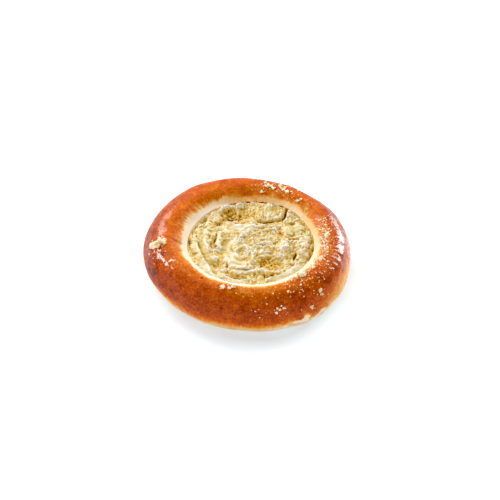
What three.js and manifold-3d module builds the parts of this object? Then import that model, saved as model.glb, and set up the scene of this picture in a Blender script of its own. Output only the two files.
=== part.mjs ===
// A kolache: a round bun of sweet yeast dough with a wide well pressed into its middle, and a swirled
// curd cheese filling spread in the well. The rim is glazed and browned, and crumbs of dried curd
// stick to it. The bun stands on its flat baked base.
//
// Lengths are in millimetres and angles in degrees. +Z is up, -Y is the side that faces the viewer,
// and the origin is the middle of the bun's outline on the surface that it stands on.
// Both pieces are shaped round the axis of the well, which lies a little off that middle.

import * as THREE from "three";
import { mergeVertices } from "three/addons/utils/BufferGeometryUtils.js";
import Module from "manifold-3d";

// ---- Driving dimensions ----

const WELL_AXIS = [2.25, -3.05]; // the well's centre, from the middle of the bun's outline
const OUTLINE_RADIUS = 54.15; // mean radius of the bun, from the well's axis
const RIM_HEIGHT = 25.5; // mean height of the rim's crest
const WIDEST_HEIGHT = 11.5; // height at which the bun is widest
const FOOT_INSET = 7.5; // how far the flat base stays inside the widest line
const MOUTH_RADIUS = 33.4; // mean radius of the well's mouth
const MOUTH_HEIGHT = 21; // height of the mouth's edge
const LIP_STEEPNESS = 0.5; // the slope at the mouth, as a share of the mean slope up to the crest
const FLOOR_RADIUS = 30.4; // radius of the well's floor
const FLOOR_HEIGHT = 9; // thickness of the bread under the filling
const CREST_SHARE = 0.42; // where the crest lies, between the mouth (0) and the outline (1)
const SECTION_POWER = 0.9; // below 1, the rim's outer section is a little fuller than an ellipse
const CLEARANCE = 0.3; // gap between the filling and the bread

// Slow waves round the bun: how many times round, the swing, and where a crest of the wave lies.
const OUTLINE_WAVES = [[1, 3.15, 126], [2, 2.1, -31], [4, 0.43, 20], [5, 0.4, 29]];
const RIM_WAVES = [[1, 0.23, 211], [2, 0.23, 119], [3, 0.32, 198]];
const MOUTH_WAVES = [[2, 0.3, 15], [3, 0.25, 70], [5, 0.2, 200]];

// ---- Small helpers ----

const DEGREE = Math.PI / 180;
const QUARTER_TURN = Math.PI / 2;

const waves = (list, azimuth) =>
  list.reduce((sum, [times, swing, crest]) => sum + swing * Math.cos(times * (azimuth - crest * DEGREE)), 0);

const mix = (from, to, share) => from + (to - from) * share;

const smoothStep = (from, to, x) => {
  const s = Math.min(1, Math.max(0, (x - from) / (to - from)));
  return s * s * (3 - 2 * s);
};

// A bell of height 1 that is nearly gone at twice its width.
const bell = (distance, width) => Math.exp(-((distance / width) ** 2));

// The shortest turn from one azimuth to another.
const turnBetween = (a, b) => Math.atan2(Math.sin(a - b), Math.cos(a - b));

// A repeatable draw from 0 to 1 for item n, one series for each value of k.
const scatter = (n, k) => {
  const s = Math.sin(n * 12.9898 + k * 78.233) * 43758.5453;
  return s - Math.floor(s);
};

const sinPower = (quarter) => Math.max(0, Math.sin(quarter * QUARTER_TURN)) ** SECTION_POWER;
const cosPower = (quarter) => Math.max(0, Math.cos(quarter * QUARTER_TURN)) ** SECTION_POWER;

function closedGeometry(points, triangles) {
  const geometry = new THREE.BufferGeometry();
  geometry.setAttribute("position", new THREE.Float32BufferAttribute(points.flat(), 3));
  geometry.setIndex(triangles);
  return geometry;
}

// ---- The bread's shape ----

const outlineRadius = (azimuth) => OUTLINE_RADIUS + waves(OUTLINE_WAVES, azimuth);
const mouthRadius = (azimuth) => MOUTH_RADIUS + waves(MOUTH_WAVES, azimuth);
const rimHeight = (azimuth) => RIM_HEIGHT + waves(RIM_WAVES, azimuth);

// The well's wall leans in below the mouth and rounds into the floor.
function wallRadius(azimuth, height) {
  const share = Math.min(1, Math.max(0, (height - FLOOR_HEIGHT) / (MOUTH_HEIGHT - FLOOR_HEIGHT)));
  return mix(FLOOR_RADIUS, mouthRadius(azimuth), share ** 0.7);
}

// Swells, dents and blisters of the crust: azimuth, station (see crustPoint), rise, and the spread
// along the rim and across it, both in millimetres.
const CRUST_SWELLS = [
  [214, 1.15, 0.7, 6, 5], // blister at the lower left
  [203, 1.5, -0.4, 4, 3], // dent beside it
  [190, 1.25, 0.4, 7, 7],
  [172, 1.5, -0.4, 8, 6],
  [245, 1.7, 0.4, 12, 9], // the full front of the rim
  [290, 1.6, -0.5, 9, 8],
  [318, 2.1, 0.6, 9, 7],
  [35, 1.3, -0.6, 10, 7], // flat shoulder at the back right
  [66, 1.4, 0.5, 8, 6],
  [93, 1.5, -0.6, 9, 8], // flat back between two shoulders
  [122, 1.5, 0.6, 8, 7],
];

// A fold in the dough that runs from the lip out over the left of the rim.
const FOLD = { azimuth: 185, from: 0.3, to: 1.0, depth: 0.6, width: 1.3 };

const ALONG_MM = 46; // one radian round the rim, as a length
const ACROSS_MM = 17; // one station across the rim, as a length

function crustRelief(azimuth, station) {
  let rise = 0.22 * Math.sin(7 * azimuth + 2 * station) + 0.16 * Math.sin(11 * azimuth - 3.1 * station);
  for (const [at, middle, height, along, across] of CRUST_SWELLS) {
    const off = turnBetween(azimuth, at * DEGREE) * ALONG_MM;
    rise += height * bell(off, along) * bell((station - middle) * ACROSS_MM, across);
  }
  const inFold = smoothStep(FOLD.from - 0.2, FOLD.from, station) * (1 - smoothStep(FOLD.to - 0.3, FOLD.to, station));
  rise -= FOLD.depth * inFold * bell(turnBetween(azimuth, FOLD.azimuth * DEGREE) * ALONG_MM, FOLD.width);
  return rise * smoothStep(0, 0.3, station) * (1 - smoothStep(2.3, 2.9, station));
}

// A point of the crust as [radius, height]. Station 0 is the mouth of the well, 1 the crest of the
// rim, 2 the widest line and 3 the edge of the flat base.
function crustPoint(azimuth, station) {
  const mouth = mouthRadius(azimuth);
  const outline = outlineRadius(azimuth);
  const crest = mix(mouth, outline, CREST_SHARE);
  const top = rimHeight(azimuth);
  const foot = outline - FOOT_INSET;
  let radius, height;
  if (station <= 1) {
    const start = LIP_STEEPNESS * station * (1 - station) ** 2;
    radius = mix(mouth, crest, station);
    height = mix(MOUTH_HEIGHT, top, smoothStep(0, 1, station) + start);
  } else if (station <= 2) {
    radius = crest + (outline - crest) * sinPower(station - 1);
    height = WIDEST_HEIGHT + (top - WIDEST_HEIGHT) * cosPower(station - 1);
  } else {
    radius = foot + (outline - foot) * cosPower(station - 2);
    height = WIDEST_HEIGHT * (1 - sinPower(station - 2));
  }
  // Relief stands out from the core of the rim.
  const away = [radius - crest, height - WIDEST_HEIGHT];
  const reach = Math.hypot(...away) || 1;
  const rise = crustRelief(azimuth, station);
  return [radius + (away[0] / reach) * rise, Math.max(0, height + (away[1] / reach) * rise)];
}

// The bread is one closed skin of rings: floor, wall, crust and base.
function breadGeometry() {
  const columns = 108;
  const wallStations = [0.02, 0.2, 0.6]; // shares of the wall's height, from the floor up
  const crustStations = [];
  for (let i = 0; i <= 6; i++) crustStations.push(i / 6);
  for (let i = 1; i <= 7; i++) crustStations.push(1 + i / 7);
  for (let i = 1; i <= 5; i++) crustStations.push(2 + i / 5);

  const sections = [];
  for (const share of wallStations) {
    const height = mix(FLOOR_HEIGHT, MOUTH_HEIGHT, share);
    sections.push((azimuth) => [wallRadius(azimuth, height) - (share < 0.1 ? 1.5 : 0), height]);
  }
  for (const station of crustStations) sections.push((azimuth) => crustPoint(azimuth, station));

  const points = [[0, 0, FLOOR_HEIGHT]];
  for (const section of sections) {
    for (let j = 0; j < columns; j++) {
      const azimuth = (j / columns) * 2 * Math.PI;
      const [radius, height] = section(azimuth);
      points.push([radius * Math.cos(azimuth), radius * Math.sin(azimuth), height]);
    }
  }
  points.push([0, 0, 0]);

  const at = (ring, column) => 1 + ring * columns + (column % columns);
  const last = sections.length - 1;
  const triangles = [];
  for (let j = 0; j < columns; j++) {
    triangles.push(0, at(0, j), at(0, j + 1));
    for (let i = 0; i < last; i++) {
      triangles.push(at(i, j), at(i + 1, j), at(i + 1, j + 1));
      triangles.push(at(i, j), at(i + 1, j + 1), at(i, j + 1));
    }
    triangles.push(at(last, j), points.length - 1, at(last, j + 1));
  }
  return closedGeometry(points, triangles);
}

// ---- The filling's shape ----

const FILLING_LEVEL = 20.6; // mean height of its surface, close under the mouth's edge
const SWAY = 0.5; // how far the spoon's marks wander

// Ridges left by the back of a spoon, each an arc: centre x, centre y, radius, azimuths from and to,
// rise, and width on the side of the centre and on the other side.
const RIDGES = [
  [35.4, 12.1, 65.6, 180, 221, 1.2, 0.6, 7.0], // the slab along the wall at the left
  [0, 0, 29.2, 234, 266, 0.8, 0.6, 4.0], // along the wall at the front
  [0, 0, 29.6, -84, -24, 0.8, 0.8, 4.0],
  [-8, 3, 16.3, 155, 218, 1.2, 1.0, 1.3], // the two strokes beside the slab
  [10, 1, 27.3, 163, 196, 0.9, 1.3, 0.8],
  [-3.2, -10, 7.2, 170, 300, 0.8, 1.5, 1.1], // the three rings that cup the swirl's heart
  [-3.2, -10, 10.4, 165, 310, 1.1, 1.9, 1.1],
  [-3.2, -10, 13.7, 225, 325, 0.9, 1.8, 1.2],
  [0, 0, 32, 50, 135, 0.7, 2.0, 3.0], // along the wall at the back
  [-4.3, -8.6, 4.1, -20, 300, 0.7, 1.0, 1.2], // round the dimple at its heart
  [4, -1, 11, 100, 198, 1.2, 2.6, 0.9], // the hook over it
  [16, -28, 38, 91, 111, 1.0, 1.5, 0.9],
  [8, -30, 43, 88, 105, 0.8, 1.5, 1.2],
  [-28.9, 16, 60, -29, -8, 1.3, 4.2, 2.0], // down the right
];

// Short, nearly level ridges right of the swirl's heart.
const LAYERS = { x: 8, y: -4.5, half: 9, pitch: 3.6, rise: 0.22 };

// Mounds with steep sides: x, y, rise, half length, half width, turn of the long side.
const MOUNDS = [
  [19.4, 9.6, 1.4, 5.6, 3.6, 88], // two lobes at the right
  [25, 10.3, 1.3, 5.6, 3.4, 80],
  [9, 24, 0.8, 10, 7.6, 0], // the pale lump at the back
  [17, -4.6, 1.3, 8, 4.6, 80], // the cone right of the middle
  [17, -4.2, 1.2, 4.8, 2.6, 80],
  [14.8, -22.5, 0.9, 2.2, 2.4, 0],
  [-18.5, -12.3, 0.8, 2.2, 1.7, 70],
];

// Softer lumps and hollows, by the same measures.
const LUMPS = [
  [-20.6, -3, -1.0, 3.2, 2, 90],
  [-14, -6.5, -1.0, 7.5, 4.2, 70], // the smooth valley left of the swirl
  [-7, 22.5, -2.4, 10, 6, 3], // the deep hollow at the back
  [20.5, 20.5, 1.2, 6, 4, -50],
  [15.2, 8, -0.8, 3.4, 2.6, 90],
  [-16, 16.5, -1.5, 4.6, 3, 50],
  [-25, 18, -1.2, 2.4, 1.4, 60],
  [-8, 12, -0.3, 6, 3.5, 35],
  [-17, -17, -1.3, 5.5, 3, -40],
  [-8, -26.8, -0.6, 6, 1.6, -10],
  [31.5, -9, -1.1, 7, 1.8, 65],
  [10, -17, -1.3, 8, 5, -10], // the crumbly hollow at the lower right
  [9, -26, -0.9, 5, 2.4, 20],
  [-4.3, -8.6, -0.9, 2.5, 2.2, 0], // the dimple at the heart of the swirl
  [23.5, -10, -0.8, 3.4, 2, 60],
];

// Cracks in the curd, as arcs: centre x, centre y, radius, azimuths from and to, depth and width.
const CRACKS = [
  [9, 26.5, 10.5, -140, 25, 2.0, 0.9], // round the pale lump
  [22.5, 8, 6.3, -118, -60, 1.6, 0.7], // under the two lobes
  [-30, -16, 18, -14, 1, 1.1, 0.6],
  [14, -9, 9.6, -36, 2, 1.3, 0.6], // beside the cone
  [10, 1, 29.1, 165, 190, 0.8, 0.7],
  [3, -3, 12.8, 165, 208, 0.6, 0.8],
  [-4, 26, 9.8, -155, -55, 0.9, 0.8], // in front of the deep hollow
];

// A groove along the wall at the left, and the curd's edge that sank at the back: azimuth, spread as a
// turn in radians, and depth.
const WALL_GROOVE = { azimuth: 178, spread: 0.4, depth: 0.5, radius: 32.2, width: 1.5 };
const BACK_EDGE = { azimuth: 85, spread: 0.75, depth: 0.1, from: 29, to: 33 };

// 0 in the middle of a spot, growing with the square of the distance to 1 on its edge.
function spot(x, y, cx, cy, long, wide, turn) {
  const c = Math.cos(turn * DEGREE);
  const s = Math.sin(turn * DEGREE);
  const u = ((x - cx) * c + (y - cy) * s) / long;
  const v = ((y - cy) * c - (x - cx) * s) / wide;
  return u * u + v * v;
}

const mound = (x, y, [cx, cy, rise, ...size]) => rise * Math.max(0, 1 - spot(x, y, cx, cy, ...size)) ** 0.8;

const lump = (x, y, [cx, cy, rise, ...size]) => rise * Math.max(0, 1 - spot(x, y, cx, cy, ...size) / 1.6) ** 1.5;

// How near a point is to an arc: its distance outwards, and a share that fades towards the arc's ends.
function nearArc(x, y, [cx, cy, radius, from, to]) {
  const middle = ((from + to) / 2) * DEGREE;
  const half = ((to - from) / 2) * DEGREE;
  const turn = Math.abs(turnBetween(Math.atan2(y - cy, x - cx), middle));
  const fade = 1 - smoothStep(half * 0.5, half * 1.05, turn);
  return [Math.hypot(x - cx, y - cy) - radius, fade];
}

function ridge(x, y, arc) {
  const [outwards, fade] = nearArc(x, y, arc);
  const [, , , , , rise, inside, outside] = arc;
  return rise * fade * bell(outwards, outwards > 0 ? outside : inside);
}

function crack(x, y, arc) {
  const [outwards, fade] = nearArc(x, y, arc);
  const [, , , , , depth, width] = arc;
  return depth * fade * bell(outwards, width);
}

// Height of the filling's surface over a point of the well.
function fillingHeight(wellX, wellY) {
  const azimuth = Math.atan2(wellY, wellX);
  const radius = Math.hypot(wellX, wellY);
  const x = wellX + SWAY * Math.sin(0.55 * wellY + 1.3) * Math.cos(0.31 * wellX);
  const y = wellY + SWAY * Math.sin(0.5 * wellX - 0.7);
  let height = FILLING_LEVEL + 0.4 * Math.cos(radius / 12);
  for (const row of RIDGES) height += ridge(x, y, row);
  for (const row of MOUNDS) height += mound(x, y, row);
  for (const row of LUMPS) height += lump(x, y, row);
  for (const row of CRACKS) height -= crack(x, y, row);

  const lx = x - LAYERS.x;
  const ly = y - LAYERS.y;
  const inside = bell(lx, LAYERS.half) * bell(ly, LAYERS.half);
  height += LAYERS.rise * inside * Math.cos((2 * Math.PI * (ly + 0.012 * lx * lx)) / LAYERS.pitch);

  const near = ({ azimuth: middle, spread }) => bell(turnBetween(azimuth, middle * DEGREE), spread);
  height -= WALL_GROOVE.depth * near(WALL_GROOVE) * bell(radius - WALL_GROOVE.radius, WALL_GROOVE.width);
  height -= BACK_EDGE.depth * near(BACK_EDGE) * smoothStep(BACK_EDGE.from, BACK_EDGE.to, radius);
  return height;
}

// The top is a disc of rings in which ring i has 6 i points, so that its triangles are all alike.
function fillingGeometry() {
  const rings = 25;
  const bottom = FLOOR_HEIGHT + CLEARANCE;
  const points = [];
  const ringStart = [0];
  for (let i = 0; i <= rings; i++) {
    const count = Math.max(1, 6 * i);
    for (let k = 0; k < count; k++) {
      const azimuth = (k / count) * 2 * Math.PI;
      const radius = (i / rings) * (mouthRadius(azimuth) - CLEARANCE - 0.25);
      const x = radius * Math.cos(azimuth);
      const y = radius * Math.sin(azimuth);
      points.push([x, y, fillingHeight(x, y)]);
    }
    ringStart.push(ringStart[i] + count);
  }
  const triangles = [];
  for (let i = 1; i <= rings; i++) {
    const inner = Math.max(1, 6 * (i - 1));
    const outer = 6 * i;
    for (let side = 0; side < 6; side++) {
      for (let k = 0; k < i; k++) {
        const a = ringStart[i - 1] + ((side * (i - 1) + k) % inner);
        const b = ringStart[i] + side * i + k;
        const c = ringStart[i] + ((side * i + k + 1) % outer);
        triangles.push(a, b, c);
        if (k < i - 1) triangles.push(a, c, ringStart[i - 1] + ((side * (i - 1) + k + 1) % inner));
      }
    }
  }
  // The side follows the well's wall down to the floor.
  const edge = 6 * rings;
  const levels = [0.75, 0.25, 0];
  for (const share of levels) {
    const height = mix(bottom, MOUTH_HEIGHT, share);
    for (let k = 0; k < edge; k++) {
      const azimuth = (k / edge) * 2 * Math.PI;
      const radius = wallRadius(azimuth, height) - CLEARANCE - (share === 0 ? 1.9 : 0);
      points.push([radius * Math.cos(azimuth), radius * Math.sin(azimuth), height]);
    }
  }
  const above = (level, k) => ringStart[rings] + level * edge + (k % edge);
  for (let k = 0; k < edge; k++) {
    for (let level = 0; level < levels.length; level++) {
      triangles.push(above(level, k), above(level + 1, k), above(level + 1, k + 1));
      triangles.push(above(level, k), above(level + 1, k + 1), above(level, k + 1));
    }
    triangles.push(above(levels.length, k), points.length, above(levels.length, k + 1));
  }
  points.push([0, 0, bottom]);
  return closedGeometry(points, triangles);
}

// ---- Crumbs of dried curd on the rim ----

// Where they lie: azimuths from and to, stations from and to, how many, and the sizes from and to.
const CRUMB_DRIFTS = [
  [185, 190.5, 1.08, 1.42, 14, 2.2, 4.0], // the clump at the left
  [60, 80, 0.85, 1.12, 12, 1.5, 3.2], // back right
  [78, 82, 0.15, 0.85, 3, 1.2, 1.8],
  [46, 56, 0.6, 0.9, 2, 1.4, 2.0],
  [-20, 14, 0.35, 1.0, 15, 1.2, 2.6], // along the right
  [-40, -26, 0.3, 0.9, 6, 1.6, 3.0],
  [-60, -44, 0.45, 0.95, 10, 1.5, 3.0], // front right
  [-56, -46, 1.4, 2.0, 3, 1.2, 2.0],
  [-82, -66, 1.0, 2.0, 7, 1.1, 1.8],
  [250, 260, 0.95, 1.12, 3, 1.6, 2.8], // front
];

function crumbGeometry(n, size) {
  const raw = new THREE.IcosahedronGeometry(size / 2, 0);
  raw.deleteAttribute("normal");
  raw.deleteAttribute("uv");
  const crumb = mergeVertices(raw, 1e-4);
  const position = crumb.getAttribute("position");
  for (let i = 0; i < position.count; i++) {
    const swell = 0.72 + 0.5 * scatter(n * 16 + i, 5);
    position.setXYZ(i, position.getX(i) * swell, position.getY(i) * swell, position.getZ(i) * swell * 0.8);
  }
  return crumb.rotateZ(scatter(n, 6) * 2 * Math.PI);
}

function crumbs() {
  const placed = [];
  let n = 0;
  for (const [from, to, low, high, count, small, large] of CRUMB_DRIFTS) {
    for (let i = 0; i < count; i++, n++) {
      const azimuth = mix(from, to, scatter(n, 1)) * DEGREE;
      const station = mix(low, high, scatter(n, 2));
      const size = mix(small, large, scatter(n, 3) ** 2);
      const [radius, height] = crustPoint(azimuth, station);
      const crumb = crumbGeometry(n, size);
      crumb.translate(radius * Math.cos(azimuth), radius * Math.sin(azimuth), height + 0.12 * size);
      placed.push(crumb);
    }
  }
  return placed;
}

// ---- Joining, materials and the model ----

const wasm = await Module();
wasm.setup();

function toSolid(geometry) {
  const vertProperties = new Float32Array(geometry.getAttribute("position").array);
  const triVerts = new Uint32Array(geometry.getIndex().array);
  return new wasm.Manifold(new wasm.Mesh({ numProp: 3, vertProperties, triVerts }));
}

function toGeometry(solid) {
  const mesh = solid.getMesh();
  const geometry = new THREE.BufferGeometry();
  geometry.setAttribute("position", new THREE.BufferAttribute(mesh.vertProperties, 3));
  geometry.setIndex(new THREE.BufferAttribute(mesh.triVerts, 1));
  return geometry;
}

const crumbedBread = crumbs().reduce((whole, crumb) => whole.add(toSolid(crumb)), toSolid(breadGeometry()));

const crust = new THREE.MeshStandardMaterial({ color: 0xb8611c, roughness: 0.35, metalness: 0 });
const curd = new THREE.MeshStandardMaterial({ color: 0xe6d29a, roughness: 0.6, metalness: 0 });

function part(name, geometry, material) {
  geometry.computeVertexNormals();
  const mesh = new THREE.Mesh(geometry, material);
  mesh.name = name;
  return mesh;
}

const kolache = new THREE.Group();
kolache.add(part("bun", toGeometry(crumbedBread), crust));
kolache.add(part("filling", fillingGeometry(), curd));
kolache.position.set(...WELL_AXIS, 0);

export default kolache;
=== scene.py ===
import math

import bmesh
import bpy
import numpy as np
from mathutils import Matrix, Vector, noise


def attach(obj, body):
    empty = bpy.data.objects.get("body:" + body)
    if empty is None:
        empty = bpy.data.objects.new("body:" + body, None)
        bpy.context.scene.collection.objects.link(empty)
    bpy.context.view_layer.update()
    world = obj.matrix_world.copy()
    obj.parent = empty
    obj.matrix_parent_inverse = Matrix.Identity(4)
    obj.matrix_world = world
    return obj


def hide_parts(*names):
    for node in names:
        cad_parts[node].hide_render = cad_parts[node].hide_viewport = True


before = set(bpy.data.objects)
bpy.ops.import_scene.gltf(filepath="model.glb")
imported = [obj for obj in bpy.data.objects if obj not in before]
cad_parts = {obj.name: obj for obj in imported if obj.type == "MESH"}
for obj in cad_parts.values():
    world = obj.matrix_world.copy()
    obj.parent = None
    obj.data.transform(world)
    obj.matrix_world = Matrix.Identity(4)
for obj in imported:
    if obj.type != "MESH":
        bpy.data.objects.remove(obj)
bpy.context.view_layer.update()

MM = 0.001  # shapes are worked out in millimetres, round the axis of the well

# ------------------------------------------------------------------ the bread
# A round bun of sweet yeast dough with a wide well pressed into its middle before baking. The rim
# rose round the well into a soft ring, was washed with egg, and baked to a glossy orange and red
# brown. The lip round the well stayed pale, and the foot is tan where it stood on the tray.

WELL_AXIS = (2.25, -3.05)  # the well's centre, from the middle of the bun's outline
OUTLINE_RADIUS = 54.15  # mean radius of the bun, from the well's axis
RIM_HEIGHT = 25.5  # mean height of the rim's crest
WIDEST_HEIGHT = 11.5  # height at which the bun is widest
FOOT_INSET = 7.5  # how far the flat base stays inside the widest line
MOUTH_RADIUS = 33.4  # mean radius of the well's mouth
MOUTH_HEIGHT = 21.0  # height of the mouth's edge
LIP_STEEPNESS = 0.5  # the slope at the mouth, as a share of the mean slope up to the crest
FLOOR_RADIUS = 30.4  # radius of the well's floor
FLOOR_HEIGHT = 9.0  # thickness of the bread under the filling
WALL_CURVE = 0.7  # below 1, the well's wall rounds into its floor
CREST_SHARE = 0.42  # where the crest lies, between the mouth (0) and the outline (1)
SECTION_POWER = 0.9  # below 1, the rim's outer section is a little fuller than an ellipse

# Slow waves round the bun: how many times round, the swing, and where a crest of the wave lies.
OUTLINE_WAVES = [(1, 3.15, 126), (2, 2.1, -31), (4, 0.43, 20), (5, 0.4, 29)]
RIM_WAVES = [(1, 0.23, 211), (2, 0.23, 119), (3, 0.32, 198)]
MOUTH_WAVES = [(2, 0.3, 15), (3, 0.25, 70), (5, 0.2, 200)]
# Ripples on the crust: the swing, how many times round, and how they lean from station to station.
RIPPLES = [(0.22, 7, 2), (0.16, 11, -3.1)]

# A place on the rim is an azimuth, 0 at the right and 90 behind, and a station, as crust_point says.
# Swells, dents and blisters: azimuth, station, rise, and the spread along and across the rim.
BLISTER = (214, 1.15)
CRUST_SWELLS = [
    (*BLISTER, 0.7, 6, 5),
    (203, 1.5, -0.4, 4, 3),  # the dent beside the blister
    (190, 1.25, 0.4, 7, 7),
    (172, 1.5, -0.4, 8, 6),
    (245, 1.7, 0.4, 12, 9),  # the full front of the rim
    (290, 1.6, -0.5, 9, 8),
    (318, 2.1, 0.6, 9, 7),
    (35, 1.3, -0.6, 10, 7),  # a flat shoulder at the back right
    (66, 1.4, 0.5, 8, 6),
    (93, 1.5, -0.6, 9, 8),  # the flat back between two shoulders
    (122, 1.5, 0.6, 8, 7),
]
# A fold in the dough that runs from the lip out over the left of the rim.
FOLD_AZIMUTH, FOLD_FROM, FOLD_TO, FOLD_DEPTH, FOLD_WIDTH = 185, 0.3, 1.0, 0.6, 1.3
ALONG_MM, ACROSS_MM = 46, 17  # one radian and one station of the rim, as lengths


def mix(low, high, share):
    return low + (high - low) * share


def smooth_step(low, high, x):
    s = np.clip((x - low) / (high - low), 0, 1)
    return s * s * (3 - 2 * s)


def bell(distance, width):
    return np.exp(-((distance / width) ** 2))


def turn_between(a, b):
    return np.arctan2(np.sin(a - b), np.cos(a - b))


def facing(azimuth, side, spread):
    """1 on that side of the bun, in degrees, nearly gone at twice the spread, which is in radians."""
    return bell(turn_between(azimuth, math.radians(side)), spread)


def waves(rows, azimuth):
    return sum(swing * np.cos(times * (azimuth - math.radians(crest))) for times, swing, crest in rows)


def lumpy(points, size, seed):
    """Smooth noise, about -1 to 1, with lumps of that size, at each of an array of points."""
    flat = np.asarray(points, float).reshape(-1, 3) / size + 17.3 * seed
    values = np.fromiter((noise.noise(Vector(p)) for p in flat), float, len(flat))
    return 1.6 * values.reshape(np.shape(points)[:-1])


def mouth_radius(azimuth):
    return MOUTH_RADIUS + waves(MOUTH_WAVES, azimuth)


def wall_radius(azimuth, height):
    share = np.clip((height - FLOOR_HEIGHT) / (MOUTH_HEIGHT - FLOOR_HEIGHT), 0, 1)
    return mix(FLOOR_RADIUS, mouth_radius(azimuth), share**WALL_CURVE)


def crust_relief(azimuth, station):
    """How far the crust stands out, which dies away at the mouth and at the flat base."""
    rise = sum(swing * np.sin(times * azimuth + lean * station) for swing, times, lean in RIPPLES)
    for at, middle, height, along, across in CRUST_SWELLS:
        off = turn_between(azimuth, math.radians(at)) * ALONG_MM
        rise = rise + height * bell(off, along) * bell((station - middle) * ACROSS_MM, across)
    in_fold = smooth_step(FOLD_FROM - 0.2, FOLD_FROM, station)
    in_fold = in_fold * (1 - smooth_step(FOLD_TO - 0.3, FOLD_TO, station))
    off_fold = turn_between(azimuth, math.radians(FOLD_AZIMUTH)) * ALONG_MM
    rise = rise - FOLD_DEPTH * in_fold * bell(off_fold, FOLD_WIDTH)
    return rise * smooth_step(0, 0.3, station) * (1 - smooth_step(2.3, 2.9, station))


def crust_point(azimuth, station, extra=0.0):
    """Radius and height. Station 0 is the mouth, 1 the crest, 2 the widest line, 3 the base's edge."""
    azimuth, station = np.broadcast_arrays(np.asarray(azimuth, float), np.asarray(station, float))
    mouth = mouth_radius(azimuth)
    outline = OUTLINE_RADIUS + waves(OUTLINE_WAVES, azimuth)
    crest = mix(mouth, outline, CREST_SHARE)
    top = RIM_HEIGHT + waves(RIM_WAVES, azimuth)
    foot = outline - FOOT_INSET
    inner = np.clip(station, 0, 1)
    upper = np.clip(station - 1, 0, 1) * math.pi / 2
    lower = np.clip(station - 2, 0, 1) * math.pi / 2
    rising = smooth_step(0, 1, inner) + LIP_STEEPNESS * inner * (1 - inner) ** 2

    def power(x):
        return np.clip(x, 0, 1) ** SECTION_POWER

    which = [station <= 1, station <= 2]
    radius = np.select(
        which,
        [mix(mouth, crest, inner), crest + (outline - crest) * power(np.sin(upper))],
        foot + (outline - foot) * power(np.cos(lower)),
    )
    height = np.select(
        which,
        [mix(MOUTH_HEIGHT, top, rising), mix(WIDEST_HEIGHT, top, power(np.cos(upper)))],
        WIDEST_HEIGHT * (1 - power(np.sin(lower))),
    )
    away_r, away_z = radius - crest, height - WIDEST_HEIGHT
    reach = np.maximum(np.hypot(away_r, away_z), 1e-6)
    rise = crust_relief(azimuth, station) + extra
    return radius + away_r / reach * rise, np.maximum(0, height + away_z / reach * rise)


def well_frame(azimuth, radius, height):
    """Points in millimetres from the polar measures round the well's axis."""
    parts = np.broadcast_arrays(radius * np.cos(azimuth), radius * np.sin(azimuth), height)
    return np.stack(parts, -1)


def mesh_object(name, points, faces):
    """points are in millimetres round the well's axis; the mesh is in metres in the part's frame."""
    mesh = bpy.data.meshes.new(name)
    placed = (np.asarray(points) + (*WELL_AXIS, 0)) * MM
    mesh.from_pydata(placed.tolist(), [], faces)
    mesh.polygons.foreach_set("use_smooth", [True] * len(mesh.polygons))
    mesh.update()
    made = bpy.data.objects.new(name, mesh)
    bpy.context.scene.collection.objects.link(made)
    return made


def give_values(made, name, values):
    """Stores one number per vertex, which the material reads."""
    layer = made.data.attributes.new(name, "FLOAT", "POINT")
    layer.data.foreach_set("value", np.asarray(values, np.float32).ravel())


# A and S are the azimuth and the station of each vertex of the crust. The bare crust is the one
# without its fine unevenness.
COLUMNS = 660
azimuths = np.linspace(0, 2 * math.pi, COLUMNS, endpoint=False)
stations = np.concatenate([np.linspace(0, 1, 26), np.linspace(1, 2, 51)[1:], np.linspace(2, 3, 29)[1:]])
A, S = np.meshgrid(azimuths, stations)
bare_radius, bare_height = crust_point(A, S)
bare = well_frame(A, bare_radius, bare_height)


def over_rim(width, length):
    """Places for noise whose marks are that wide along the rim and that long across it."""
    ring = ALONG_MM / width
    return np.stack([ring * np.cos(A), ring * np.sin(A), S * ACROSS_MM / length], -1)


def patch(azimuth, station, along, across):
    """1 at a place on the rim, fading to nothing at about twice those lengths, in millimetres."""
    off = turn_between(A, math.radians(azimuth)) * ALONG_MM
    return bell(np.hypot(off / along, (S - station) * ACROSS_MM / across), 1)


# Radial wrinkles pull across the right of the rim.
wrinkled = facing(A, -6, 0.48) * smooth_step(0.45, 0.8, S) * (1 - smooth_step(1.15, 1.6, S))
wrinkles = wrinkled * lumpy(over_rim(0.9, 6), 1, 1)

# The blister at the lower left has a puckered edge and a slack skin.
BLISTER_RADIUS = 5.4
along_blister = turn_between(A, math.radians(BLISTER[0])) * ALONG_MM
off_blister = np.hypot(along_blister, (S - BLISTER[1]) * ACROSS_MM)
pucker = lumpy(bare, 2.0, 12)
blister_edge = bell(off_blister - BLISTER_RADIUS - 0.7 * pucker, 0.55)
blister_skin = bell(off_blister, BLISTER_RADIUS)

# At the lower right the crust tore from the tray and left a pale rough strip.
torn = facing(A, -56, 0.27) * smooth_step(1.9, 2.1, S) * (1 - smooth_step(2.6, 2.8, S))
torn = torn * smooth_step(-0.1, 0.3, lumpy(over_rim(4.5, 3.0), 1, 13))

# The fine unevenness in millimetres: lumps of three sizes all over, and then the marks above.
fine = lumpy(bare, 1.1, 4)
uneven = 0.16 * lumpy(bare, 9, 2) + 0.08 * lumpy(bare, 3.2, 3) + 0.03 * fine
uneven = uneven + 0.2 * wrinkles + 0.3 * blister_edge * (0.6 + pucker) + 0.12 * blister_skin * pucker
uneven = uneven + torn * (0.45 * fine - 0.4)
uneven = uneven * smooth_step(0, 0.35, S) * (1 - smooth_step(2.6, 2.95, S))
crust = well_frame(A, *crust_point(A, S, uneven))

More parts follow.
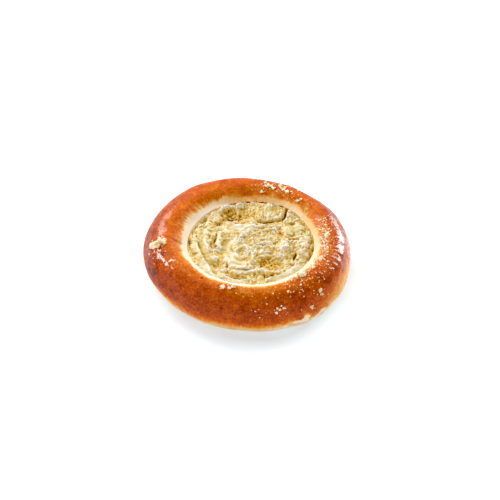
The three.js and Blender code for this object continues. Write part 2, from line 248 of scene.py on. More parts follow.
# The rings of the well's wall: the height of each, and how far it is set in.
WALL_STEPS = ((9.0, 6.0), (9.05, 1.6), (10.2, 0.3), (13.0, 0.0), (16.0, 0.0), (19.0, 0.0), (20.5, 0.0))
wall = np.array([well_frame(azimuths, wall_radius(azimuths, h) - inset, h) for h, inset in WALL_STEPS])

# The mouth's edge is frayed at the back, where the filling pulled away from it.
FRAY = 0.014  # as a share of the radius
FIRST_FRAYED_RING = 3
frayed = FRAY * facing(azimuths, 95, 0.8)
frayed = frayed * lumpy(well_frame(azimuths, 30.0, 0.0), 1.3, 18)
wall[FIRST_FRAYED_RING:, :, :2] *= (1 + frayed)[None, :, None]
crust[..., :2] *= (1 + frayed * (1 - smooth_step(0, 0.12, S)))[..., None]

BASE_RINGS = (0.97, 0.9, 0.75, 0.5, 0.25)  # shares of the flat base's radius
base_edge = np.hypot(crust[-1, :, 0], crust[-1, :, 1])
base = np.array([well_frame(azimuths, base_edge * share, 0.0) for share in BASE_RINGS])
rows = np.concatenate([wall, crust, base])
bread_points = np.concatenate([rows.reshape(-1, 3), [(0, 0, FLOOR_HEIGHT), (0, 0, 0)]])

ring, column = np.meshgrid(np.arange(len(rows) - 1) * COLUMNS, np.arange(COLUMNS), indexing="ij")
beside = (column + 1) % COLUMNS
quads = np.stack([ring + column, ring + COLUMNS + column, ring + COLUMNS + beside, ring + beside], -1)
first = np.arange(COLUMNS)
last = (len(rows) - 1) * COLUMNS + first
floor_tip, base_tip = len(bread_points) - 2, len(bread_points) - 1
floor_fan = [(floor_tip, int(a), int(b)) for a, b in zip(first, np.roll(first, -1))]
base_fan = [(int(a), base_tip, int(b)) for a, b in zip(last, np.roll(last, -1))]
bread = mesh_object("bread", bread_points, quads.reshape(-1, 4).tolist() + floor_fan + base_fan)

# How far each place is baked, from 0, pale dough, to 1, dark red brown, with painted shade added on the
# lip at the back and right and on the wall at the back. The lip stays pale for a few millimetres out
# from the mouth, further at the front, and its edge is ragged along the rim.
behind = facing(A, 92, 0.6)
at_right = facing(A, 20, 0.7)
at_left = facing(A, 185, 0.7)
PALE_REACH, PALE_FRONT, PALE_BACK, PALE_BACK_LEFT = 4.2, 2.4, 0.9, 1.2
reach = PALE_REACH + PALE_FRONT * facing(A, -84, 0.7) + PALE_BACK * behind
reach = reach + PALE_BACK_LEFT * facing(A, 140, 0.5)
from_mouth = (bare_radius - mouth_radius(A)) / reach
ragged = 0.14 * lumpy(over_rim(1.6, 5), 1, 5) + 0.12 * lumpy(over_rim(0.6, 4), 1, 16)
ragged = ragged * (1 - 0.8 * behind) + 0.14 * lumpy(bare, 5, 6)
# Each pair is places, and how far they are baked: out from the mouth, and down the side by station.
LIP_BAKED = ([0, 0.5, 0.65, 0.85, 1.05, 1.5, 3.0], [0.0, 0.03, 0.12, 0.35, 0.5, 0.61, 0.66])
SIDE_BAKED = ([1.1, 1.5, 1.8, 1.97, 2.1, 2.2, 2.32, 3.0], [0, 0.13, 0.19, 0.15, 0.02, -0.2, -0.37, -0.42])
browning_and_shade = np.interp(from_mouth + ragged * smooth_step(0.3, 0.8, from_mouth), *LIP_BAKED)
browning_and_shade = browning_and_shade + np.interp(S, *SIDE_BAKED)
# The lip is tan at the back and peach at the right: partly browning, partly painted shade on the inner slopes
# there, which face away from the lights.
browning_and_shade = browning_and_shade + (0.31 * behind + 0.22 * at_right) * (1 - smooth_step(0.6, 1.3, from_mouth))
browning_and_shade = browning_and_shade + (0.09 * at_right + 0.07 * at_left + 0.04 * behind) * smooth_step(0.9, 1.3, S)
browning_and_shade = browning_and_shade + 0.05 * lumpy(bare, 12, 7) * smooth_step(0.6, 1.2, S)
browning_and_shade = browning_and_shade - 0.12 * wrinkles - 0.1 * blister_skin - 0.45 * torn - 0.52 * patch(-20, 1.98, 22, 6)
browning_and_shade = browning_and_shade + patch(232.5, 1.0, 0.5, 0.5)  # a burnt speck
# The well's wall is pale, and dark at the back: partly scorched, partly painted shade in the gap behind
# the filling. The flat base is golden brown.
WALL_BAKED, WALL_SCORCH_AND_SHADE, BASE_BAKED = 0.1, 0.95, 0.45
scorch_and_shade = smooth_step(0.2, 0.6, facing(azimuths, 88, 0.6))
wall_browning_and_shade = np.clip(WALL_BAKED + WALL_SCORCH_AND_SHADE * np.tile(scorch_and_shade, (len(wall), 1)), 0, 1)
base_baked = np.full((len(base), COLUMNS), BASE_BAKED)
browning_and_shade_all = np.concatenate([wall_browning_and_shade, np.clip(browning_and_shade, 0, 1), base_baked])
give_values(bread, "browning_and_shade", np.concatenate([browning_and_shade_all.ravel(), [WALL_BAKED, BASE_BAKED]]))

# How thick the egg glaze lies: in shining patches at the left and right, thin elsewhere, and none on
# the lip.
THIN_GLAZE = 0.05
shining = 0.2 * patch(171, 1.2, 12, 5) * smooth_step(-0.6, 0.3, lumpy(bare, 4.5, 14))
streaks = lumpy(over_rim(1.2, 7), 1, 14) + 0.5 * lumpy(bare, 1.3, 15)
shining = shining + 1.2 * patch(200, 1.28, 12, 5) * smooth_step(-0.5, 0.1, streaks)
flaws = lumpy(bare, 3.0, 17) + 0.8 * lumpy(bare, 1, 18)
shining = shining + 1.3 * patch(-6, 1.45, 20, 7) * smooth_step(-0.9, 0.0, flaws)
glaze = (THIN_GLAZE + shining) * smooth_step(0.9, 1.25, from_mouth) * (1 - smooth_step(2.2, 2.5, S))
glaze_all = np.concatenate([0 * wall_browning_and_shade, glaze, 0 * base_baked])
give_values(bread, "glaze", np.concatenate([glaze_all.ravel(), [0, 0]]))


def linear(colour):
    """A colour given as sRGB 0 to 255, as the linear values that a shader takes."""
    shares = [c / 255 for c in colour]
    return [s / 12.92 if s <= 0.04045 else ((s + 0.055) / 1.055) ** 2.4 for s in shares] + [1.0]


def add_node(tree, kind, values=None, **settings):
    """A shader node, with its sockets' values given by name."""
    node = tree.nodes.new(kind)
    for key, value in settings.items():
        setattr(node, key, value)
    for key, value in (values or {}).items():
        node.inputs[key].default_value = value
    return node


def maths(tree, operation, a, b, clamp=False):
    node = add_node(tree, "ShaderNodeMath", operation=operation, use_clamp=clamp)
    for socket, value in zip(node.inputs, (a, b)):
        if isinstance(value, (int, float)):
            socket.default_value = value
        else:
            tree.links.new(value, socket)
    return node.outputs[0]


def ramp(tree, factor, stops, colours=True):
    """A colour ramp from (place, colour) stops; greys are given as one number."""
    node = add_node(tree, "ShaderNodeValToRGB")
    marks = node.color_ramp.elements
    while len(marks) < len(stops):
        marks.new(0.5)
    for mark, (place, value) in zip(marks, stops):
        mark.position = place
        mark.color = linear(value) if colours else (value, value, value, 1)
    tree.links.new(factor, node.inputs["Fac"])
    return node.outputs["Color"]


# Coarse and fine speckle of a baked surface, shared by the crust, the curd and the crumbs.
speckle = bpy.data.node_groups.new("baked_speckle", "ShaderNodeTree")
for label, size in (("Coarse Size", 6.0), ("Fine Size", 1.0)):
    socket = speckle.interface.new_socket(label, in_out="INPUT", socket_type="NodeSocketFloat")
    socket.default_value = size
for label in ("Coarse", "Fine"):
    speckle.interface.new_socket(label, in_out="OUTPUT", socket_type="NodeSocketFloat")
speckle_in = add_node(speckle, "NodeGroupInput")
speckle_out = add_node(speckle, "NodeGroupOutput")
where = add_node(speckle, "ShaderNodeTexCoord")
for label, detail, rough in (("Coarse", 3.0, 0.55), ("Fine", 4.0, 0.62)):
    cloud = add_node(speckle, "ShaderNodeTexNoise", {"Detail": detail, "Roughness": rough})
    speckle.links.new(where.outputs["Object"], cloud.inputs["Vector"])
    per_metre = maths(speckle, "DIVIDE", 1000.0, speckle_in.outputs[label + " Size"])
    speckle.links.new(per_metre, cloud.inputs["Scale"])
    speckle.links.new(cloud.outputs["Fac"], speckle_out.inputs[label])


def use_speckle(tree, coarse, fine):
    """The speckle, with marks of those sizes in millimetres."""
    return add_node(tree, "ShaderNodeGroup", {"Coarse Size": coarse, "Fine Size": fine}, node_tree=speckle)


def up_and_down(tree, mark, amount):
    """A mark from 0 to 1 as a change to both sides, of that amount from end to end."""
    return maths(tree, "MULTIPLY", maths(tree, "SUBTRACT", mark, 0.5), amount)


def roughen(tree, shader, mark, strength, depth):
    """Marks that catch the light as fine relief of that depth in metres."""
    bump = add_node(tree, "ShaderNodeBump", {"Strength": strength, "Distance": depth})
    tree.links.new(mark, bump.inputs["Height"])
    tree.links.new(bump.outputs["Normal"], shader.inputs["Normal"])


def new_material(name):
    material = bpy.data.materials.new(name)
    material.use_nodes = True
    return material, material.node_tree, material.node_tree.nodes["Principled BSDF"]


def read_value(tree, name):
    return add_node(tree, "ShaderNodeAttribute", attribute_name=name).outputs["Fac"]


# From pale dough through golden and red brown to a burnt speck.
CRUST_COLOURS = [
    (0.0, (241, 224, 199)),
    (0.15, (241, 217, 180)),
    (0.3, (233, 182, 112)),
    (0.45, (222, 137, 58)),
    (0.6, (206, 104, 36)),
    (0.74, (184, 83, 38)),
    (0.86, (160, 69, 37)),
    (0.97, (138, 56, 32)),
    (1.0, (84, 44, 22)),
]
crust_material, tree, shader = new_material("glazed_crust")
marks = use_speckle(tree, 4.0, 1.1)
# This value is the browning, with painted shade at the back and right of the lip and on the wall at the back.
browning_and_shade_value = read_value(tree, "browning_and_shade")
coarse_part = up_and_down(tree, marks.outputs["Coarse"], 0.5)
fine_part = up_and_down(tree, marks.outputs["Fine"], 0.9)
browned = maths(tree, "MULTIPLY", maths(tree, "ADD", coarse_part, fine_part),
                maths(tree, "MULTIPLY", browning_and_shade_value, 1.3, clamp=True))
toast_and_shade = maths(tree, "ADD", browning_and_shade_value, browned, clamp=True)
tree.links.new(ramp(tree, toast_and_shade, CRUST_COLOURS), shader.inputs["Base Color"])
tree.links.new(ramp(tree, browning_and_shade_value, [(0.2, 0.65), (0.5, 0.42)], colours=False), shader.inputs["Roughness"])
tree.links.new(read_value(tree, "glaze"), shader.inputs["Coat Weight"])
shader.inputs["Specular IOR Level"].default_value = 0.06
shader.inputs["Coat Roughness"].default_value = 0.1
roughen(tree, shader, marks.outputs["Fine"], 0.55, 0.0003)
bread.data.materials.append(crust_material)
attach(bread, "root")
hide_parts("bun")

# ---------------------------------------------------------------- the filling
# Fresh curd cheese beaten with egg and sugar, spooned into the well and swirled with the back of the
# spoon, then baked until just set. It is grainy and pale, shrank away from the bread at the back,
# and cracked round its lumps.

FILLING_LEVEL = 20.6  # mean height of its surface, close under the mouth's edge
SWAY = 0.5  # how far the spoon's marks wander

# Ridges left by the back of a spoon, each an arc: centre x and y, radius, azimuths from and to, rise,
# and width on the side of the centre and on the other side.
RIDGES = [
    (35.4, 12.1, 65.6, 180, 221, 1.2, 0.6, 7.0),  # the slab along the wall at the left
    (0, 0, 29.2, 234, 266, 0.8, 0.6, 4.0),  # along the wall at the front
    (0, 0, 29.6, -84, -24, 0.8, 0.8, 4.0),
    (-8, 3, 16.3, 155, 218, 1.2, 1.0, 1.3),  # the two strokes beside the slab
    (10, 1, 27.3, 163, 196, 0.9, 1.3, 0.8),
    (-3.2, -10, 7.2, 170, 300, 0.8, 1.5, 1.1),  # the three rings that cup the swirl's heart
    (-3.2, -10, 10.4, 165, 310, 1.1, 1.9, 1.1),
    (-3.2, -10, 13.7, 225, 325, 0.9, 1.8, 1.2),
    (0, 0, 32, 50, 135, 0.7, 2.0, 3.0),  # along the wall at the back
    (-4.3, -8.6, 4.1, -20, 300, 0.7, 1.0, 1.2),  # round the dimple at the swirl's heart
    (4, -1, 11, 100, 198, 1.2, 2.6, 0.9),  # the hook over it
    (16, -28, 38, 91, 111, 1.0, 1.5, 0.9),
    (8, -30, 43, 88, 105, 0.8, 1.5, 1.2),
    (-28.9, 16, 60, -29, -8, 1.3, 4.2, 2.0),  # down the right
]
# Short, nearly level ridges right of the swirl's heart.
LAYERS_X, LAYERS_Y, LAYERS_HALF, LAYERS_PITCH, LAYERS_RISE = 8, -4.5, 9, 3.6, 0.22
# Mounds with steep sides, and softer lumps and hollows: x, y, rise, half length, half width, turn.
MOUNDS = [
    (19.4, 9.6, 1.4, 5.6, 3.6, 88),  # two lobes at the right
    (25, 10.3, 1.3, 5.6, 3.4, 80),
    (9, 24, 0.8, 10, 7.6, 0),  # the pale lump at the back
    (17, -4.6, 1.3, 8, 4.6, 80),  # the cone right of the middle
    (17, -4.2, 1.2, 4.8, 2.6, 80),
    (14.8, -22.5, 0.9, 2.2, 2.4, 0),
    (-18.5, -12.3, 0.8, 2.2, 1.7, 70),
]
LUMPS = [
    (-20.6, -3, -1.0, 3.2, 2, 90),
    (-14, -6.5, -1.0, 7.5, 4.2, 70),  # the smooth valley left of the swirl
    (-7, 22.5, -2.4, 10, 6, 3),  # the deep hollow at the back
    (20.5, 20.5, 1.2, 6, 4, -50),
    (15.2, 8, -0.8, 3.4, 2.6, 90),
    (-16, 16.5, -1.5, 4.6, 3, 50),
    (-25, 18, -1.2, 2.4, 1.4, 60),
    (-8, 12, -0.3, 6, 3.5, 35),
    (-17, -17, -1.3, 5.5, 3, -40),
    (-8, -26.8, -0.6, 6, 1.6, -10),
    (31.5, -9, -1.1, 7, 1.8, 65),
    (10, -17, -1.3, 8, 5, -10),  # the crumbly hollow at the lower right
    (9, -26, -0.9, 5, 2.4, 20),
    (-4.3, -8.6, -0.9, 2.5, 2.2, 0),  # the dimple at the heart of the swirl
    (23.5, -10, -0.8, 3.4, 2, 60),
]
# Cracks in the curd, as arcs: centre x and y, radius, azimuths from and to, depth and width.
CRACKS = [
    (9, 26.5, 10.5, -140, 25, 2.0, 0.9),  # round the pale lump
    (22.5, 8, 6.3, -118, -60, 1.6, 0.7),  # under the two lobes
    (-30, -16, 18, -14, 1, 1.1, 0.6),
    (14, -9, 9.6, -36, 2, 1.3, 0.6),  # beside the cone
    (10, 1, 29.1, 165, 190, 0.8, 0.7),
    (3, -3, 12.8, 165, 208, 0.6, 0.8),
    (-4, 26, 9.8, -155, -55, 0.9, 0.8),  # in front of the deep hollow
]
# A groove along the wall at the left, and the curd's edge that sank at the back.
GROOVE_AZIMUTH, GROOVE_SPREAD, GROOVE_DEPTH, GROOVE_RADIUS, GROOVE_WIDTH = 178, 0.4, 0.5, 32.2, 1.5
SUNK_AZIMUTH, SUNK_SPREAD, SUNK_DEPTH, SUNK_FROM, SUNK_TO = 85, 0.75, 0.1, 29, 33


def spot(x, y, cx, cy, long, wide, turn):
    """0 in the middle of a spot, growing with the square of the distance to 1 on its edge."""
    c, s = math.cos(math.radians(turn)), math.sin(math.radians(turn))
    u = ((x - cx) * c + (y - cy) * s) / long
    v = ((y - cy) * c - (x - cx) * s) / wide
    return u * u + v * v


def mound(x, y, cx, cy, rise, long, wide, turn):
    return rise * np.maximum(0, 1 - spot(x, y, cx, cy, long, wide, turn)) ** 0.8


def lump(x, y, cx, cy, rise, long, wide, turn):
    return rise * np.maximum(0, 1 - spot(x, y, cx, cy, long, wide, turn) / 1.6) ** 1.5


def near_arc(x, y, cx, cy, radius, start, end):
    """The distance outwards from an arc, and a share that fades towards the arc's ends."""
    middle, half = math.radians((start + end) / 2), math.radians((end - start) / 2)
    turn = np.abs(turn_between(np.arctan2(y - cy, x - cx), middle))
    return np.hypot(x - cx, y - cy) - radius, 1 - smooth_step(half * 0.5, half * 1.05, turn)


def ridge(x, y, *arc):
    outwards, fade = near_arc(x, y, *arc[:5])
    rise, inside, outside = arc[5:]
    return rise * fade * bell(outwards, np.where(outwards > 0, outside, inside))


def crack(x, y, *arc):
    outwards, fade = near_arc(x, y, *arc[:5])
    depth, width = arc[5:]
    return depth * fade * bell(outwards, width)


def filling_height(x, y):
    """Height of the filling's surface over a point of the well, without the curd's grain."""
    azimuth, radius = np.arctan2(y, x), np.hypot(x, y)
    height = FILLING_LEVEL + 0.4 * np.cos(radius / 12)
    x, y = x + SWAY * np.sin(0.55 * y + 1.3) * np.cos(0.31 * x), y + SWAY * np.sin(0.5 * x - 0.7)
    height = height + sum(ridge(x, y, *row) for row in RIDGES)
    height = height + sum(mound(x, y, *row) for row in MOUNDS)
    height = height + sum(lump(x, y, *row) for row in LUMPS)
    height = height - sum(crack(x, y, *row) for row in CRACKS)
    lx, ly = x - LAYERS_X, y - LAYERS_Y
    inside = bell(lx, LAYERS_HALF) * bell(ly, LAYERS_HALF)
    height = height + LAYERS_RISE * inside * np.cos(2 * math.pi * (ly + 0.012 * lx * lx) / LAYERS_PITCH)
    in_groove = facing(azimuth, GROOVE_AZIMUTH, GROOVE_SPREAD)
    height = height - GROOVE_DEPTH * in_groove * bell(radius - GROOVE_RADIUS, GROOVE_WIDTH)
    sunk = facing(azimuth, SUNK_AZIMUTH, SUNK_SPREAD)
    return height - SUNK_DEPTH * sunk * smooth_step(SUNK_FROM, SUNK_TO, radius)


# The mesh is a disc in which ring i has 6 i points, and a side that follows the well's wall.
RINGS = 128
ring_sizes = [1] + [6 * i for i in range(1, RINGS + 1)]
ring_start = np.concatenate([[0], np.cumsum(ring_sizes)])
disc_azimuth = np.concatenate([np.arange(n) / n * 2 * math.pi for n in ring_sizes])
disc_share = np.concatenate([np.full(n, i / RINGS) for i, n in enumerate(ring_sizes)])

# At the back the curd shrank and left a ragged gap of up to a millimetre. Elsewhere it touches the lip.
EDGE_OVERLAP = 0.05
GAP_FALL = 8  # how sharply the gap begins near the edge
edge_points = well_frame(disc_azimuth, 33.0, 0 * disc_azimuth)
gap_noise = 0.3 + 0.6 * lumpy(edge_points, 3.5, 11) + 0.6 * lumpy(edge_points, 1.2, 12)
gap = facing(disc_azimuth, 90, 0.6) * np.clip(gap_noise, 0, 1.0)
disc_radius = disc_share * (mouth_radius(disc_azimuth) + EDGE_OVERLAP - gap * disc_share**GAP_FALL)

# The spoon's marks stray a little, so that no arc is perfectly drawn.
disc_x, disc_y = disc_radius * np.cos(disc_azimuth), disc_radius * np.sin(disc_azimuth)
flat_points = np.stack([disc_x, disc_y, 0 * disc_x], -1)
strayed_x = disc_x + 0.35 * lumpy(flat_points, 4.5, 24) + 0.2 * lumpy(flat_points, 1.6, 26)
strayed_y = disc_y + 0.35 * lumpy(flat_points, 4.5, 25) + 0.2 * lumpy(flat_points, 1.6, 27)
smooth_height = filling_height(strayed_x, strayed_y)

# The spoon smeared the curds flat in some places: x, y, half length, half width and turn.
SMEARED = [
    (-25, -12, 19, 4.2, -62),
    (-14, -6, 9, 4.5, 72),
    (-8.5, -13.5, 8, 3.6, -62),
    (-8, 12.5, 7, 4, 35),
    (22, 9.8, 5, 6, 0),
    (20, -23, 13, 3.0, 35),
    (-4, -22.8, 6, 1.6, 0),
    (-8, -29, 7, 2.2, -14),
]
smear = np.zeros(len(disc_x))
for row in SMEARED:
    smear = np.maximum(smear, 1 - smooth_step(0.5, 1.2, spot(disc_x, disc_y, *row)))
crumbly = 1 - smear


def scatter(n, k):
    """A repeatable draw from 0 to 1 for item n, one series for each value of k."""
    s = np.sin(np.asarray(n) * 12.9898 + k * 78.233) * 43758.5453
    return s - np.floor(s)


def curds(x, y, size, seed):
    """Grains of about that size, one in each square of a grid and off its middle: how domed each place
    is, from 0 in a crevice to 1, and a draw for the grain that it belongs to."""
    column, row = np.floor(x / size), np.floor(y / size)
    nearest, second = np.full(len(x), 9.0), np.full(len(x), 9.0)
    draw = np.zeros(len(x))
    for i in (-1, 0, 1):
        for j in (-1, 0, 1):
            number = (column + i) * 57 + (row + j) * 131 + seed * 17
            cx = column + i + 0.15 + 0.7 * scatter(number, 1)
            cy = row + j + 0.15 + 0.7 * scatter(number, 2)
            away = np.hypot(x / size - cx, y / size - cy)
            closer = away < nearest
            second = np.where(closer, nearest, np.minimum(second, away))
            nearest = np.where(closer, away, nearest)
            draw = np.where(closer, scatter(number, 3), draw)
    return np.clip((second - nearest) * 1.8, 0, 1) ** 0.6, draw


def bumps(width, length, seed):
    """Soft bumps of that width and length: 0 between them and 1 on top."""
    return smooth_step(-0.5, 0.7, lumpy(flat_points * (1 / length, 1 / width, 1), 1, seed))


# The grain's height in millimetres: curds with crevices between them where the filling is crumbly,
# softer marks where it is smeared, and pits and short layers.
CURD_SIZE = 1.7
CURD_SQUEEZE = 1.15  # how much shorter the curds are from front to back
GRAIN_MEAN = 0.7  # taken off again, so that the surface keeps its level
drift_x = disc_x + 0.7 * lumpy(flat_points, 2.5, 21)
drift_y = disc_y + 0.7 * lumpy(flat_points, 2.5, 22)
dome, draw = curds(drift_x, drift_y * CURD_SQUEEZE, CURD_SIZE, 1)
grain = crumbly * (0.4 * bumps(3.2, 3.6, 31) + 0.3 * bumps(1.2, 1.5, 32) + (0.2 + 0.45 * draw) * dome)
grain = grain + 0.15 * bumps(0.7, 0.8, 33) * (0.3 + 0.7 * crumbly) + 0.4 * bumps(6, 6, 34)
grain = grain + smear * (0.35 * bumps(2.4, 4, 38) + 0.14 * bumps(1.1, 2.2, 37))
pits = smooth_step(0.5, 0.85, lumpy(flat_points, 1.9, 35)) * crumbly
layered = bell(disc_x - 6, 13) * bell(disc_y + 1, 13) * crumbly
grain = grain + 0.35 * bumps(1.4, 3.5, 36) * layered - 0.35 * pits
top_points = np.stack([disc_x, disc_y, smooth_height + grain - GRAIN_MEAN], -1)

# The rings of the side, down to the underside: the height of each, and how far it is set in.
UNDERSIDE = 9.3
SIDE_STEPS = ((17.0, 0.0), (12.5, 0.0), (UNDERSIDE, 1.7))
SIDE_CLEARANCE = 0.25
EDGE = ring_sizes[-1]
side_azimuth = disc_azimuth[-EDGE:]
side = [well_frame(side_azimuth, wall_radius(side_azimuth, h) - SIDE_CLEARANCE - gap[-EDGE:] - inset, h)
        for h, inset in SIDE_STEPS]
filling_points = np.concatenate([top_points, *side, [(0, 0, UNDERSIDE)]])

filling_faces = []
for i in range(1, RINGS + 1):
    sector, k = (m.ravel() for m in np.meshgrid(np.arange(6), np.arange(i), indexing="ij"))
    inner_count, outer_count = ring_sizes[i - 1], ring_sizes[i]
    a = ring_start[i - 1] + (sector * (i - 1) + k) % inner_count
    b = ring_start[i] + sector * i + k
    c = ring_start[i] + (sector * i + k + 1) % outer_count
    d = ring_start[i - 1] + (sector * (i - 1) + k + 1) % inner_count
    filling_faces += np.stack([a, b, c], -1).tolist()
    filling_faces += np.stack([a, c, d], -1)[k < i - 1].tolist()
here = np.arange(EDGE)
there = np.roll(here, -1)
edge_start = len(top_points) - EDGE
for level in range(len(SIDE_STEPS)):
    above, below = edge_start + level * EDGE, edge_start + (level + 1) * EDGE
    filling_faces += np.stack([above + here, below + here, below + there, above + there], -1).tolist()
lowest = edge_start + len(SIDE_STEPS) * EDGE
underside_tip = np.full(EDGE, len(filling_points) - 1)
filling_faces += np.stack([lowest + here, underside_tip, lowest + there], -1).tolist()
filling = mesh_object("curd_filling", filling_points, filling_faces)


def smoothed(values, links, times):
    """Each vertex's value, averaged with its neighbours' that many times over."""
    here, there = links
    count = np.bincount(here, minlength=len(values)) + 1
    for _ in range(times):
        values = (values + np.bincount(here, values[there], len(values))) / count
    return values


# The tone is light on the tops of curds and ridges and deep yellow to brown in crevices and hollows: this
# is painted light on the tops and higher places, and painted shade in the crevices and hollows.
triangles = np.array([face for face in filling_faces if len(face) == 3 and max(face) < len(top_points)])
links = (triangles[:, [0, 1, 2]].ravel(), triangles[:, [1, 2, 0]].ravel())
top_height = top_points[:, 2]
near = smoothed(top_height, links, 12)
wide = smoothed(near, links, 160)
MIDDLE_TONE, GRAIN_SHADING, RIDGE_SHADING, LEVEL_SHADING = 0.54, 0.8, 0.22, 0.05
tone = MIDDLE_TONE + GRAIN_SHADING * (top_height - near) + RIDGE_SHADING * (near - wide)
tone = tone + LEVEL_SHADING * (wide - FILLING_LEVEL)
# Places made darker, and how much: x, y, change, half length, half width, turn. Those in the hollows,
# the cracks and the groove by the left wall are painted shade; the rest, on the lobes, the cone, the pale
# lump and elsewhere, make the curd yellower.
DARKENED_PLACES = [
    (-7, 22, -0.12, 12, 6, 3),
    (9, 24, -0.06, 10, 7, 0),
    (-12.6, 25, -0.08, 4, 3, 0),
    (-16, 17, -0.12, 5, 3, 45),
    (4.5, 21, -0.12, 4, 6, 0),
    (20, 9.3, -0.2, 6, 5, 88),
    (26, 10, -0.12, 6, 4.5, 80),
    (10, 15, -0.2, 7, 2.2, 5),
    (18, 24, -0.22, 6, 3, -55),
    (33, -1, -0.2, 7, 2, 90),
    (30, -13, -0.2, 7, 2, 65),
    (23, -10.5, -0.2, 5, 3, 55),
    (17, -4, -0.12, 6, 5, 80),
    (9.5, -16, -0.18, 8, 6, -10),
    (9, -26, -0.16, 6, 3, 20),
    (-33, 1, -0.16, 8, 1.8, 90),
    (-29, -7, -0.26, 14, 3.4, -68),
    (-23, -13.5, -0.12, 7, 2.5, -60),
    (-14.5, 2, -0.12, 3.5, 2.5, 80),
    (-14, -10, -0.12, 4, 3, 70),
    (25, 16, -0.08, 5, 5, 0),
    (-6, -13, -0.1, 5, 2, -15),
]
tone = tone + sum(lump(disc_x, disc_y, *row) for row in DARKENED_PLACES)
SIDE_TONE = 0.2
side_count = len(filling_points) - len(top_points)
give_values(filling, "tone", np.concatenate([np.clip(tone, 0, 1), np.full(side_count, SIDE_TONE)]))
give_values(filling, "smear", np.concatenate([smear, np.zeros(side_count)]))

# Crumbly curd goes from brown through yellow to cream, the brown being painted shade in crevices, and
# smeared curd is paler.
CRUMBLY_COLOURS = [
    (0.0, (122, 70, 12)),
    (0.14, (186, 130, 24)),
    (0.3, (212, 168, 58)),
    (0.48, (217, 189, 110)),
    (0.66, (226, 208, 162)),
    (0.85, (236, 227, 214)),
]
SMEARED_COLOURS = [
    (0.0, (124, 84, 24)),
    (0.3, (208, 174, 84)),
    (0.5, (217, 199, 148)),
    (0.66, (225, 213, 188)),
    (0.85, (236, 231, 226)),
]
curd_material, tree, shader = new_material("baked_curd")
marks = use_speckle(tree, 5.0, 1.0)
tone_and_shading = read_value(tree, "tone")
coarse_part = up_and_down(tree, marks.outputs["Coarse"], 0.55)
fine_part = up_and_down(tree, marks.outputs["Fine"], 0.2)
lightness = maths(tree, "ADD", tone_and_shading, maths(tree, "ADD", coarse_part, fine_part), clamp=True)
blend = add_node(tree, "ShaderNodeMix", data_type="RGBA")
tree.links.new(read_value(tree, "smear"), blend.inputs["Factor"])
tree.links.new(ramp(tree, lightness, CRUMBLY_COLOURS), blend.inputs[6])
tree.links.new(ramp(tree, lightness, SMEARED_COLOURS), blend.inputs[7])
tree.links.new(blend.outputs[2], shader.inputs["Base Color"])
shader.inputs["Roughness"].default_value = 0.38
shader.inputs["IOR"].default_value = 1.4
shader.inputs["Subsurface Weight"].default_value = 0.06
shader.inputs["Subsurface Radius"].default_value = (1.0, 0.7, 0.4)
shader.inputs["Subsurface Scale"].default_value = 0.0008
roughen(tree, shader, marks.outputs["Fine"], 0.6, 0.0003)
filling.data.materials.append(curd_material)
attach(filling, "root")
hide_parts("filling")

# ----------------------------------------------------------------- the crumbs
# Crumbs of dough and dried curd that fell on the egg wash and stuck to it in the oven. The larger
# ones lie in drifts mostly on the right half of the rim, with one clump at the left and a few in
# front. Dust lies between them.

# Azimuths from and to, stations from and to, how many, and the sizes from and to.
CRUMB_DRIFTS = [
    (185, 190.5, 1.08, 1.42, 14, 2.2, 4.0),  # the clump at the left
    (60, 80, 0.85, 1.12, 12, 1.5, 3.2),  # back right
    (78, 82, 0.15, 0.85, 3, 1.2, 1.8),
    (46, 56, 0.6, 0.9, 2, 1.4, 2.0),
    (-20, 14, 0.35, 1.0, 15, 1.2, 2.6),  # along the right
    (-40, -26, 0.3, 0.9, 6, 1.6, 3.0),
    (-60, -44, 0.45, 0.95, 10, 1.5, 3.0),  # front right
    (-56, -46, 1.4, 2.0, 3, 1.2, 2.0),
    (-82, -66, 1.0, 2.0, 7, 1.1, 1.8),
    (250, 260, 0.95, 1.12, 3, 1.6, 2.8),  # front
]
# The same for the dust. The last row is three coarser crumbs low on the left side.
DUST_DRIFTS = [
    (180, 200, 1.1, 1.6, 26, 0.5, 1.1),
    (54, 90, 0.6, 1.3, 80, 0.4, 1.1),
    (36, 60, 0.4, 1.1, 18, 0.4, 0.9),
    (-30, 24, 0.35, 1.25, 260, 0.4, 1.2),
    (-66, -26, 0.25, 1.4, 170, 0.4, 1.2),
    (-90, -40, 1.0, 2.2, 60, 0.4, 0.9),
    (245, 270, 0.8, 1.3, 24, 0.4, 0.9),
    (183, 186, 1.95, 2.02, 3, 1.2, 2.2),
]


